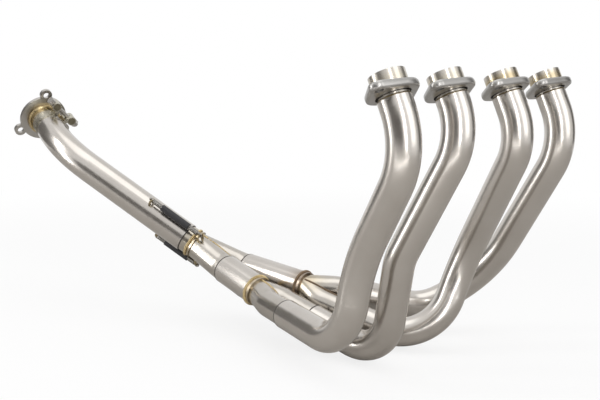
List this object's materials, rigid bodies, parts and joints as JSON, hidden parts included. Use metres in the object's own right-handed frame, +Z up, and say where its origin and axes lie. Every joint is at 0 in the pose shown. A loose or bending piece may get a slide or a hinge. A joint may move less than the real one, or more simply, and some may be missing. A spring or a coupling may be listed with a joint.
{
  "type": "motorcycle exhaust header",
  "caption": "Bent stainless exhaust header that merges primary tubes through paired collectors into one pipe with a clamped outlet flange.",
  "frame": {"origin": "The middle of the top face of the spigot of port 1.", "axes": "X points from the outlet to the ports, forward on the motorcycle. Y runs along the row of ports from port 1 to port 4. Z is up."},
  "size_m": [0.7132, 0.3746, 0.3348],
  "materials": {
    "machined_steel": "turned stainless steel, bright, with fine turning lines",
    "cast_flange": "cast stainless steel, satin, blasted",
    "port_weld": "small weld bead with straw and brown heat tint",
    "brown_weld": "wide weld with brown heat tint",
    "gold_weld": "weld bead with gold heat tint",
    "brushed_tube": "stainless tube brushed along its length, satin",
    "inlet_tube": "stainless tube brushed along its length, straw tint near the welds",
    "collector_neck": "stainless steel, heat tinted",
    "mid_pipe": "stainless tube brushed along its length, satin",
    "outlet_sleeve": "stainless sleeve, straw tint near the flange",
    "outlet_flange": "cut stainless plate, satin",
    "clamp_band": "stainless strip, olive tint",
    "clamp_trunnion": "turned steel, olive passivated",
    "clamp_screw": "stainless screw and nut",
    "hook_wire": "bent stainless wire with gold heat tint",
    "spring_wire": "stainless spring wire",
    "rubber_sleeve": "black silicone rubber, matt"
  },
  "bodies": {
    "root": {"port_spigot_1": "machined_steel", "port_spigot_2": "machined_steel", "port_spigot_3": "machined_steel", "port_spigot_4": "machined_steel", "port_flange_1": "cast_flange", "port_flange_2": "cast_flange", "port_flange_3": "cast_flange", "port_flange_4": "cast_flange", "port_weld_1": "port_weld", "port_weld_2": "port_weld", "port_weld_3": "port_weld", "port_weld_4": "port_weld", "primary_tube_1": "brushed_tube", "primary_tube_2": "brushed_tube", "primary_tube_3": "brushed_tube", "primary_tube_4": "brushed_tube", "front_inlet_1": "inlet_tube", "front_inlet_2": "inlet_tube", "rear_inlet_3": "inlet_tube", "rear_inlet_4": "inlet_tube", "front_collector_neck": "collector_neck", "rear_collector_neck": "collector_neck", "front_collector_weld": "gold_weld", "rear_collector_weld": "brown_weld", "front_secondary_tube": "brushed_tube", "rear_secondary_tube": "brushed_tube", "final_inlet_front": "inlet_tube", "final_inlet_rear": "inlet_tube", "final_collector_neck": "collector_neck", "final_collector_weld": "gold_weld", "final_collector_sleeve": "inlet_tube", "mid_pipe": "mid_pipe", "outlet_sleeve": "outlet_sleeve", "outlet_weld": "gold_weld", "outlet_flange": "outlet_flange", "clamp_band": "clamp_band", "clamp_trunnion_upper": "clamp_trunnion", "clamp_trunnion_lower": "clamp_trunnion", "clamp_bolt": "clamp_screw", "clamp_nut": "clamp_screw", "hook_top_rear": "hook_wire", "hook_top_front": "hook_wire", "hook_bottom_rear": "hook_wire", "hook_bottom_front": "hook_wire", "hook_front_rear": "hook_wire", "hook_front_front": "hook_wire", "spring_top": "spring_wire", "spring_bottom": "spring_wire", "spring_front": "spring_wire", "sleeve_top": "rubber_sleeve", "sleeve_bottom": "rubber_sleeve", "sleeve_front": "rubber_sleeve"}
  },
  "joints": []
}
